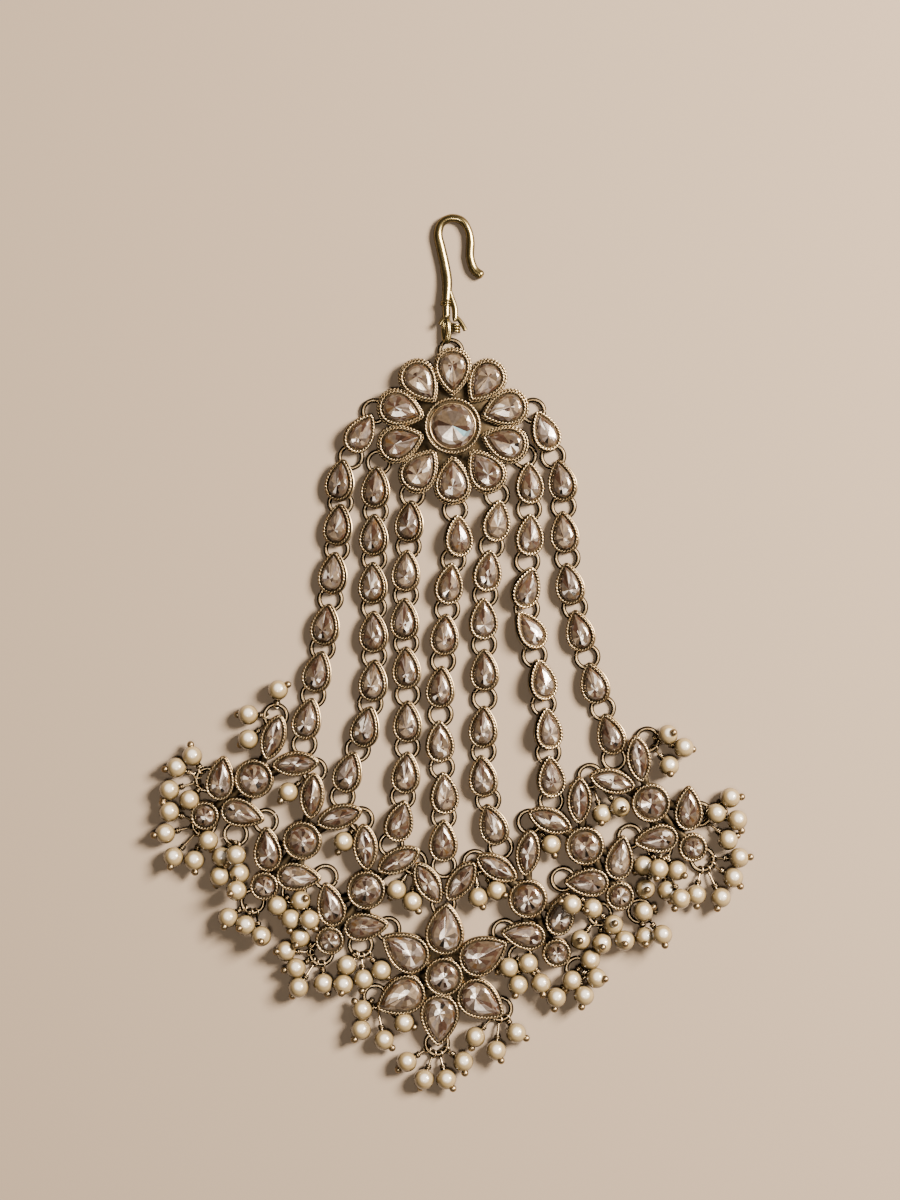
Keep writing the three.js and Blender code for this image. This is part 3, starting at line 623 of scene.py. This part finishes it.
# Strands: seven falls of seven pear cups in antique gold, each soldered by its back to the jump rings above
# and below it, so it leans and rolls as it happens to lie. The centre one ends in a V of two marquise cups.
STRAND_SEAT = 0.55  # height of the back of a link that lies level
LINK_CLEAR = 0.1  # how far the low side of a rolled one stays above the surface
ROLL_GAIN, MOST_ROLL = 1.8, 18
SLIT_STEP = 37  # each ring's slit is turned so many degrees more than the last one's, and the other way
# First and last ring, then each link as x, y, lean of its tip towards +X and roll towards +X in degrees.
STRANDS = {
    "strand_1": ((-13.3, 41.0), (-25.2, -15.8), [
        (-15.6, 37.3, 30, 5), (-18.9, 29.2, 8, -8), (-19.2, 21.6, 7, -9), (-20.1, 13.4, 6, -8),
        (-21.4, 4.6, 9, -7), (-22.8, -3.4, 13, -6), (-24.6, -11.4, 14, -4)]),
    "strand_2": ((-12.5, 32.3), (-18.7, -24.7), [
        (-12.9, 28.0, 4, -7), (-13.2, 19.9, 2, -7), (-13.4, 11.7, 0, -6), (-13.3, 3.4, 0, -5),
        (-13.3, -4.9, 4, -6), (-14.6, -12.8, 14, -7), (-17.6, -20.5, 17, -5)]),
    "strand_3": ((-6.8, 26.8), (-10.4, -32.9), [
        (-7.1, 22.2, 5, -8), (-7.8, 13.8, 4, -3), (-8.0, 5.6, 0, -5), (-7.7, -2.7, -2, -4),
        (-7.5, -11.9, 0, -5), (-7.8, -20.6, 5, -3), (-9.0, -28.8, 15, 4)]),
    "centre_strand": ((0.5, 24.2), (-1.4, -36.5), [
        (0.9, 19.7, -3, 8), (-0.5, 11.6, 8, 3), (-1.2, 2.9, 4, -3), (-1.9, -6.0, 4, -4),
        (-2.1, -15.3, -2, 2), (-1.4, -24.1, -3, 4), (-1.5, -32.2, 1, 0)]),
    "strand_5": ((7.6, 26.8), (8.3, -33.3), [
        (7.4, 22.3, 9, 8), (6.0, 13.8, 8, 4), (5.3, 5.6, 0, 3), (5.6, -3.1, -1, -4),
        (5.4, -12.8, 2, -5), (5.3, -21.2, -6, -3), (7.0, -29.4, -19, -4)]),
    "strand_6": ((12.3, 33.4), (16.9, -25.4), [
        (13.1, 28.7, -3, 4), (13.1, 19.9, 2, 5), (12.5, 11.0, 17, 14), (13.0, 3.6, -34, 17),
        (15.1, -4.8, -12, 15), (16.1, -13.1, -6, 10), (16.7, -21.3, -5, 6)]),
    "strand_7": ((13.8, 41.1), (27.6, -18.2), [
        (15.6, 37.5, -22, 7), (18.8, 29.2, -10, -6), (19.2, 20.4, -6, -5), (20.1, 11.6, -10, -6),
        (21.8, 3.6, -14, -5), (24.3, -5.3, -16, -6), (27.1, -14.0, -17, -6)]),
}
# The cups of the V as x, y and lean.
V_CUPS = [(-4.1, -39.3, -30), (1.5, -39.0, 36)]
# Short posts that carry the V on the last jump ring, and a post's profile.
V_LUGS = [(-3.3, -37.5), (0.4, -37.5)]
LUG = [(0.4, 0.0, 0.8), (0.5, 0.1, 0.8), (0.5, 1.3, 0.8)]

for number, (strand, (first, last, links)) in enumerate(STRANDS.items()):
    metal, stones = [], []
    for i, (x, y, lean, roll) in enumerate(links):
        roll = max(-MOST_ROLL, min(MOST_ROLL, ROLL_GAIN * roll))
        seat = max(STRAND_SEAT, LINK_CLEAR + CUPS["link"][1] / 2 * abs(math.sin(math.radians(roll))))
        metal += roped_cup("link", x, y, seat, 90 - lean, roll)
        stones.append(set_stone("link", 100 + 10 * number + i, x, y, seat, 90 - lean, roll))
    middles = [((a[0] + b[0]) / 2, (a[1] + b[1]) / 2) for a, b in zip(links, links[1:])]
    for i, (x, y) in enumerate([first, *middles, last]):
        metal.append(jump_ring(x, y, 90 + SLIT_STEP * i * (-1) ** i))
    if strand == "centre_strand":
        for i, (x, y, lean) in enumerate(V_CUPS):
            metal += roped_cup("marquise", x, y, HIGH_SEAT, 90 - lean)
            stones.append(set_stone("marquise", 190 + i, x, y, HIGH_SEAT, 90 - lean))
        metal += [turned_disc(x, y, LUG, 12) for x, y in V_LUGS]
    make_piece(f"{strand}_cups_and_rings", metal, antique_gold, [strand])
    make_piece(f"{strand}_stones", stones, crystal)

# Clusters: each is one brass casting in antique gold round a round cup, with two marquise cups above it, two
# pears at its outer side and a small round beyond them, joined below by bars. The right-hand three are mirrored.

# Each cup: kind, bearing from the round one, distance, and heading of its tip, both from the cluster's heading.
CLUSTER_CUPS = [("marquise", 0, 7.8, 8), ("marquise", -45, 7.5, -61), ("side_pear", 114, 6.2, 17),
                ("side_pear", 187, 6.2, -82), ("small_round", 152, 10.4, 0)]
# The middle of each cluster, its heading, and -1 where it is mirrored. No two are quite alike, so last comes
# how far some of its cups sit from their usual place.
CLUSTERS = {
    "cluster_left_1": (-33.7, -21.6, 65, 1, {2: (0.57, 0.0)}),
    "cluster_left_2": (-25.5, -32.1, 77.5, 1, {2: (0.2, -0.25), 4: (0.35, 0.2)}),
    "cluster_left_3": (-14.6, -40.5, 87.5, 1, {0: (-0.5, -0.5), 2: (-0.3, -0.2), 3: (-0.5, 0.0), 4: (-0.9, 0.4)}),
    "cluster_right_1": (33.8, -25.7, 105.5, -1, {2: (0.3, 0.0)}),
    "cluster_right_2": (22.6, -33.0, 97, -1, {1: (0.0, -0.3), 2: (0.0, -0.2), 3: (0.3, 0.0)}),
    "cluster_right_3": (12.9, -42.0, 90, -1, {}),
}
# The bars are blackened nearly all over: their patina together with painted shade under the cups.
BAR_HEIGHT, BAR_WIDTH, BAR_THICKNESS, BAR_DARK = 1.45, 0.75, 0.35, 0.95  # the middle two are half measures
BAR_STEPS, BAR_SIDES = 6, 12
FOOT = [(1.5, 0.0, 0.9), (1.7, 0.15, 0.9), (1.7, 1.3, 0.9)]  # profile of the post that a casting stands on
CLUSTER_PLATE = 3.4  # radius of its thin dark plate, which stands for a backing and for the deep shade between its cups


def solder_bar(x, y, to_x, to_y):
    """A flat bar between the seats of two cups: an elliptic section along a straight line."""
    share = np.linspace(0, 1, BAR_STEPS)[:, None]
    path = np.array([x, y, BAR_HEIGHT]) * (1 - share) + np.array([to_x, to_y, BAR_HEIGHT]) * share
    turn = full_turn(BAR_SIDES)
    ellipse = 1 / np.hypot(np.cos(turn) / BAR_WIDTH, np.sin(turn) / BAR_THICKNESS)
    return tube(path, ellipse, BAR_SIDES, (0, 0, 1), patina_and_painted_light=BAR_DARK)


def casting(x, y, plate, plate_steps, seed, cups):
    """Metal and stones of a round cup on a foot and a thin dark plate, which stands for a backing and for the deep
    shade between the cups, and of the cups that flat bars join to it, each given as kind, x, y, heading and cut."""
    # A thin plate blackened all over: a backing, and painted shade between the cups.
    backing_and_shade = [(plate - 0.2, 0.86, 0.95), (plate, 0.92, 0.95), (plate, 1.02, 0.95), (plate - 0.2, 1.08, 0.95)]
    metal = [turned_disc(x, y, FOOT, 24), turned_disc(x, y, backing_and_shade, plate_steps),
             *roped_cup("side_round", x, y, HIGH_SEAT)]
    stones = [set_stone("side_round", seed, x, y, HIGH_SEAT)]
    for i, (kind, cup_x, cup_y, heading, cut) in enumerate(cups):
        metal += [solder_bar(x, y, cup_x, cup_y), *roped_cup(kind, cup_x, cup_y, HIGH_SEAT, heading)]
        stones.append(set_stone(kind, seed + 1 + i, cup_x, cup_y, HIGH_SEAT, heading, cut=cut))
    return metal, stones


for number, (cluster, (x, y, heading, side, shifts)) in enumerate(CLUSTERS.items()):
    cups = []
    for i, (kind, at, reach, axis) in enumerate(CLUSTER_CUPS):
        cup_x, cup_y = stepped(x, y, heading + side * at, reach)
        shift_x, shift_y = shifts.get(i, (0, 0))
        cups.append((kind, cup_x + shift_x, cup_y + shift_y, heading + side * axis, None))
    metal, stones = casting(x, y, CLUSTER_PLATE, 40, 300 + 10 * number, cups)
    make_piece(f"{cluster}_cups", metal, antique_gold, [cluster])
    make_piece(f"{cluster}_stones", stones, crystal)

# Drop flower: six larger pear cups in antique gold, tips outwards, soldered round a round cup on a thin dark plate,
# which also stands for the deep shade between the cups.
# Jump rings carry it below the middle strands.
FLOWER = (-1.4, -55.2)
FLOWER_REACH, FLOWER_TURN, FLOWER_PLATE = 7.65, -3, 5.2
# How far each petal sits from its even place, and its cut.
FLOWER_SHIFTS = [(-0.2, 0.45), (-0.25, 0.2), (-0.55, 0.0), (-0.35, 0.3), (0.0, 0.0), (0.0, 0.3)]
FLOWER_CUTS = ["fan", "flash", "clear", "fan", "flash", "dusky"]
cups = []
for i, ((shift_x, shift_y), cut) in enumerate(zip(FLOWER_SHIFTS, FLOWER_CUTS)):
    out = 90 + FLOWER_TURN + 360 * i / len(FLOWER_CUTS)
    x, y = stepped(*FLOWER, out, FLOWER_REACH)
    cups.append(("flower_pear", x + shift_x, y + shift_y, out, cut))
metal, stones = casting(*FLOWER, FLOWER_PLATE, 48, 400, cups)
make_piece("drop_flower_cups", metal, antique_gold, ["drop_flower"])
make_piece("drop_flower_stones", stones, crystal)

# Fringe: loose jump rings that link the groups, and bunches of imitation pearls that hang from them. Each
# pearl is threaded on a brass pin with a ball end, whose wire is looped round the ring and wound at its neck.
PEARL = 1.75  # radius
PEARL_APART = 3.3  # two pearls' middles where one lies over the other; their lacquer skins press together
PIN, PIN_SIDES = 0.2, 7  # half the thickness of the wire
PIN_BURIED = 0.25  # how far it is drawn inside the pearl
PIN_SLOPE = 0.3  # the steepest that it may run
BALL = 0.62  # radius of the ball end
BALL_OUT = PEARL + 0.2  # from the middle of the pearl to the middle of the ball
LOOP, LOOP_BACK, LOOP_UP = 0.62, 0.78, 0.45  # radius of the loop, and how far its far side leans
LOOP_STEPS, NECK_STEPS = 20, 30
# The winding at the neck: its radius and the wire's, turns, length of a turn, and how far from the pearl.
NECK, NECK_WIRE, NECK_TURNS, NECK_PITCH, NECK_GAP = 0.42, 0.16, 2.4, 0.3, 0.12
# How dark a pearl and a ball end are painted away from their palest side, as painted shade.
PEARL_SHADE, BALL_SHADE = 0.45, 0.9
PALEST = (0.1, 0.3, 0.95)  # direction of a pearl's painted highlight; it is painted darker away from it
FIRST_SLIT, FRINGE_SLIT_STEP = 20, 53  # degrees
# Each ring as x, y, and its pearls as x, y, the heading of the ball end, how far that end is raised in
# degrees, and where one pearl lies over another the height of its middle.
FRINGE = {
    "left_1": {
        "left_1_top": (-30.1, -10.9, [(-29.6, -6.5, 30, 10), (-34.7, -10.7, 180, -20), (-34.7, -14.9, 215, -30)]),
        "left_1_to_2_upper": (-23.5, -20.2, [(-27.9, -23.9, 228, 20)]),
        "left_1_to_2_lower": (-31.8, -28.9, []),
        "left_1_outer": (-41.7, -21.8, [(-44.2, -17.7, 98, 0), (-46.9, -19.7, 186, 15), (-48.1, -23.5, 239, 0),
            (-44.7, -25.2, 229, -30)]),
        "left_1_small": (-42.3, -29.4, [(-48.1, -27.2, 125, 0), (-48.8, -30.9, 187, 20), (-47.4, -34.9, 256, 35),
            (-43.9, -35.5, 276, 10), (-41.5, -32.1, 287, -30)]),
        "left_1_foot": (-36.9, -31.1, [(-39.2, -34.9, 309, 40), (-36.6, -34.4, 219, -20), (-39.6, -38.2, 250, -30),
            (-36.2, -37.7, 248, -20), (-36.5, -40.4, 200, 60)]),
    },
    "left_2": {
        "left_2_to_3_upper": (-15.5, -28.6, [(-18.5, -32.3, 243, 0)]),
        "left_2_to_3_lower": (-21.6, -38.4, []),
        "left_2_small": (-34.0, -42.6, [(-38.1, -45.2, 248, 40), (-35.1, -46.4, 200, 60), (-32.4, -48.2, 280, 70)]),
        "left_2_foot": (-27.0, -41.0, [(-29.8, -43.2, 293, 10), (-25.8, -42.3, 31, 55), (-27.4, -45.4, 265, 0),
            (-24.2, -45.4, 302, -10)]),
    },
    "left_3": {
        "left_3_to_v": (-6.4, -35.9, [(-9.5, -40.5, 236, -30), (-6.8, -42.5, 304, 0)]),
        "left_3_to_flower": (-10.9, -47.3, []),
        "left_3_foot": (-15.6, -50.0, [(-18.0, -53.3, 234, -30), (-18.5, -56.5, 260, 50), (-15.1, -55.7, 263, 0),
            (-12.1, -54.2, 310, -30)]),
        "left_3_small": (-22.3, -51.4, [(-25.9, -48.6, 243, 50), (-28.3, -50.9, 177, 40), (-26.6, -53.8, 188, 10),
            (-26.1, -57.0, 236, -20), (-21.9, -56.4, 292, 0)]),
    },
    "right_1": {
        "right_1_to_2_upper": (23.5, -21.2, [(25.5, -27.6, 263, 45), (28.5, -26.4, 343, 75)]),
        "right_1_top": (33.3, -15.0, [(36.9, -19.4, 277, 50), (39.4, -16.3, 348, -30), (36.7, -14.1, 30, 60)]),
        "right_1_outer": (42.2, -27.7, [(44.9, -27.5, 10, -40), (47.3, -24.8, 4, 0), (48.5, -28.6, 293, 0),
            (46.9, -32.0, 22, -20)]),
        "right_1_small": (42.7, -35.4, [(41.5, -41.3, 274, 0), (45.7, -41.8, 251, 15), (47.8, -38.4, 310, 20),
            (48.8, -35.0, 5, 15)]),
        "right_1_to_2_lower": (30.3, -31.5, []),
        "right_1_foot": (35.4, -33.7, [(32.5, -36.4, 223, -30), (34.9, -36.7, 256, 40), (32.8, -40.3, 3, 82),
            (36.6, -40.6, 289, -10), (38.6, -41.7, 238, 15), (38.2, -37.2, 330, 45)]),
    },
    "right_2": {
        "right_2_to_3_upper": (13.2, -29.0, [(16.8, -32.8, 289, 0)]),
        "right_2_to_3_lower": (18.9, -38.8, []),
        "right_2_foot": (25.2, -44.7, [(20.2, -42.7, 161, 10, 4.3), (23.8, -43.5, 191, 55, 3.2),
            (21.8, -49.0, 135, 85), (25.5, -49.6, 270, 80), (27.4, -46.4, 67, 75), (29.3, -49.0, 259, 80)]),
        "right_2_small": (32.0, -44.2, [(32.5, -44.2, 25, 0), (32.8, -48.5, 271, 60), (35.6, -47.9, 284, 30)]),
    },
    "right_3": {
        "right_3_to_v": (3.9, -35.9, [(4.4, -41.8, 299, 30), (7.5, -40.6, 335, 35)]),
        "right_3_to_flower": (8.9, -47.7, []),
        "right_3_foot": (11.6, -51.9, [(9.6, -53.7, 201, 0), (12.9, -53.0, 320, -30), (11.2, -56.7, 253, 30),
            (15.1, -56.4, 281, 20)]),
        "right_3_small": (21.4, -54.1, [(17.7, -58.8, 261, 0), (20.4, -55.9, 241, -10), (22.4, -58.3, 257, 10),
            (23.5, -52.4, 39, -30), (24.5, -55.3, 2, 45)]),
    },
    "flower": {
        "v_to_flower": (-1.5, -43.0, []),
        "flower_left": (-13.1, -58.8, [(-15.3, -60.9, 131, 0), (-15.5, -64.3, 235, 15), (-11.6, -66.0, 316, 0),
            (-8.2, -63.1, 340, 20)]),
        "flower_bottom": (-2.6, -66.8, [(-7.7, -69.7, 223, 0), (-4.8, -72.7, 250, -30), (-1.0, -72.7, 309, 20),
            (1.9, -69.7, 279, 20)]),
        "flower_right": (8.2, -60.9, [(3.9, -65.5, 253, 0), (7.5, -67.8, 298, 25), (10.9, -64.8, 332, 0)]),
    },
}


def ball(centre, radius, rows, columns, patina_and_painted_light, axis=(0, 0, 1), palest=(0, 0, 1)):
    """A sphere as rings of latitude about an axis, closed at its two poles, and painted with light: palest on one
    side as a painted highlight, and darker away from it as painted shade.
    """
    axis = np.array(axis, float) / np.linalg.norm(axis)
    level = np.cross(axis, (0, 0, 1) if abs(axis[2]) < 0.9 else (1, 0, 0))
    level /= np.linalg.norm(level)
    square = np.cross(axis, level)
    latitude = np.linspace(-np.pi / 2, np.pi / 2, rows + 2)[1:-1, None, None]
    turn = full_turn(columns)[None, :, None]
    spread = axis * np.sin(latitude) + np.cos(latitude) * (level * np.cos(turn) + square * np.sin(turn))
    shade = np.clip(patina_and_painted_light - 0.45 * spread @ np.array(palest, float), 0, 1)
    centre = np.array(centre, float)
    return capped_rows(centre + radius * spread, shade, centre - radius * axis, centre + radius * axis)


def pearl_heights(pearls):
    """The height of each pearl's middle: on the surface, or on an earlier pearl that it lies over."""
    heights = []
    for x, y, _, _, *given in pearls:
        rests = [PEARL]
        for (other_x, other_y, *_), height in zip(pearls, heights):
            apart = math.hypot(x - other_x, y - other_y)
            if apart < PEARL_APART:
                rests.append(height + math.sqrt(PEARL_APART ** 2 - apart ** 2))
        heights.append(given[0] if given else max(rests))
    return heights


def pearl_pin(ring_x, ring_y, middle, heading, rise):
    """The wire of one pearl: a leaning loop round the ring's wire, a straight neck with a helix wound on it,
    and the ball end beyond the pearl, raised at least so far that it stays above the surface."""
    towards = math.degrees(math.atan2(middle[1] - ring_y, middle[0] - ring_x))
    start = np.array([*stepped(ring_x, ring_y, towards, RING), WIRE + PIN])
    turn = full_turn(LOOP_STEPS)
    loop = LOOP * np.stack([np.cos(turn), LOOP_BACK * np.sin(turn), LOOP_UP * np.sin(turn)], axis=1)
    # The loop, neck and winding take tube's painted light: painted shade on their sides and underside, a painted
    # highlight on top.
    made = [placed(tube(loop, PIN, PIN_SIDES, (0, -0.5, 0.87), True), *start[:2], LOOP * LOOP_UP + PIN, towards + 90)]
    away = middle - start
    steepest = PIN_SLOPE * math.hypot(away[0], away[1])
    away[2] = min(max(away[2], -steepest), steepest)
    away /= np.linalg.norm(away)
    neck_start, neck_end = start + away * LOOP, middle - away * (PEARL - PIN_BURIED)
    share = np.linspace(0, 1, 4)[:, None]
    made.append(tube(neck_start * (1 - share) + neck_end * share, PIN, PIN_SIDES, (0, 0, 1)))
    wound = np.linspace(0, 2 * np.pi * NECK_TURNS, NECK_STEPS)
    level = np.cross(away, (0, 0, 1))
    level /= np.linalg.norm(level)
    spread = np.cos(wound)[:, None] * level + np.sin(wound)[:, None] * np.cross(away, level)
    base = middle - away * (PEARL + NECK_GAP)
    helix = base - away * (wound / (2 * np.pi) * NECK_PITCH)[:, None] + NECK * spread
    made.append(tube(helix, NECK_WIRE, 6, spread))
    turn = math.radians(heading)
    lift = max(math.radians(rise), math.asin(max(-1.0, (BALL - middle[2]) / BALL_OUT)))
    out = np.array([math.cos(turn) * math.cos(lift), math.sin(turn) * math.cos(lift), math.sin(lift)])
    made.append(ball(middle + out * BALL_OUT, BALL, 7, 12, BALL_SHADE, out))
    return made


CLOUD, SKIN = 3.0, 0.4  # widths of the patterns in the lacquer


def pearl_glass(name):
    """Imitation pearl: glass dipped in pearl lacquer, cream with faint warmer clouds, with a nearly white painted
    highlight on top and brown painted shade at its underside and edge, with a satin shine and a thin clear coat."""
    material, tree = new_material(name)
    place = add_node(tree, "ShaderNodeTexCoord", {}, {}).outputs["Object"]
    clouds, skin = (
        add_node(tree, "ShaderNodeTexNoise", {"Scale": 1 / (across * MM), "Detail": 2.0}, {"Vector": place})
        for across in (CLOUD, SKIN))
    cream = add_node(tree, "ShaderNodeMix", {"data_type": "RGBA", 6: linear("#b09e7a"), 7: linear("#a1885a")},
                     {0: clouds.outputs["Fac"]}).outputs[2]
    # Painted light: nearly white where the ball's darkness is lowest, as a painted highlight, and brown where it is
    # high, as painted shade.
    low = add_node(tree, "ShaderNodeAttribute", {"attribute_name": "patina_and_painted_light"}, {}).outputs["Fac"]
    lit, painted_limb_shade = (
        add_node(tree, "ShaderNodeMapRange", {"interpolation_type": "SMOOTHSTEP", "From Min": start, "From Max": end},
                 {"Value": low}).outputs[0] for start, end in ((0.0, 0.07), (0.1, 0.36)))
    painted_highlight = add_node(tree, "ShaderNodeMix", {"data_type": "RGBA", 6: linear("#fffaf0")}, {0: lit, 7: cream}).outputs[2]
    body = add_node(tree, "ShaderNodeMix", {"data_type": "RGBA", 7: linear("#4f3d16")}, {0: painted_limb_shade, 6: painted_highlight}).outputs[2]
    gloss = add_node(tree, "ShaderNodeMapRange", {"To Min": 0.12, "To Max": 0.26},
                     {"Value": skin.outputs["Fac"]}).outputs[0]
    lacquer = add_node(tree, "ShaderNodeBsdfPrincipled",
                       {"Metallic": 0.0, "IOR": 1.56, "Coat Weight": 1.0, "Coat Roughness": 0.05},
                       {"Base Color": body, "Roughness": gloss})
    add_node(tree, "ShaderNodeOutputMaterial", {}, {"Surface": lacquer.outputs["BSDF"]})
    return material


pearl_lacquer = pearl_glass("cream_pearl_lacquer")

for bunch, rings in FRINGE.items():
    wires, pearls_made, pearl_nodes, ring_nodes = [], [], [], []
    for number, (name, (ring_x, ring_y, pearls)) in enumerate(rings.items()):
        wires.append(jump_ring(ring_x, ring_y, FIRST_SLIT + FRINGE_SLIT_STEP * number))
        if not pearls:
            ring_nodes.append(f"ring_{name}")
            continue
        pearl_nodes.append(f"pearls_{name}")
        for (x, y, heading, rise, *_), height in zip(pearls, pearl_heights(pearls)):
            middle = np.array([x, y, height])
            wires += pearl_pin(ring_x, ring_y, middle, heading, rise)
            pearls_made.append(ball(middle, PEARL, 13, 22, PEARL_SHADE, palest=PALEST))
    make_piece(f"{bunch}_fringe_rings_and_pins", wires, antique_gold, ring_nodes)
    make_piece(f"{bunch}_fringe_pearls", pearls_made, pearl_lacquer, pearl_nodes)
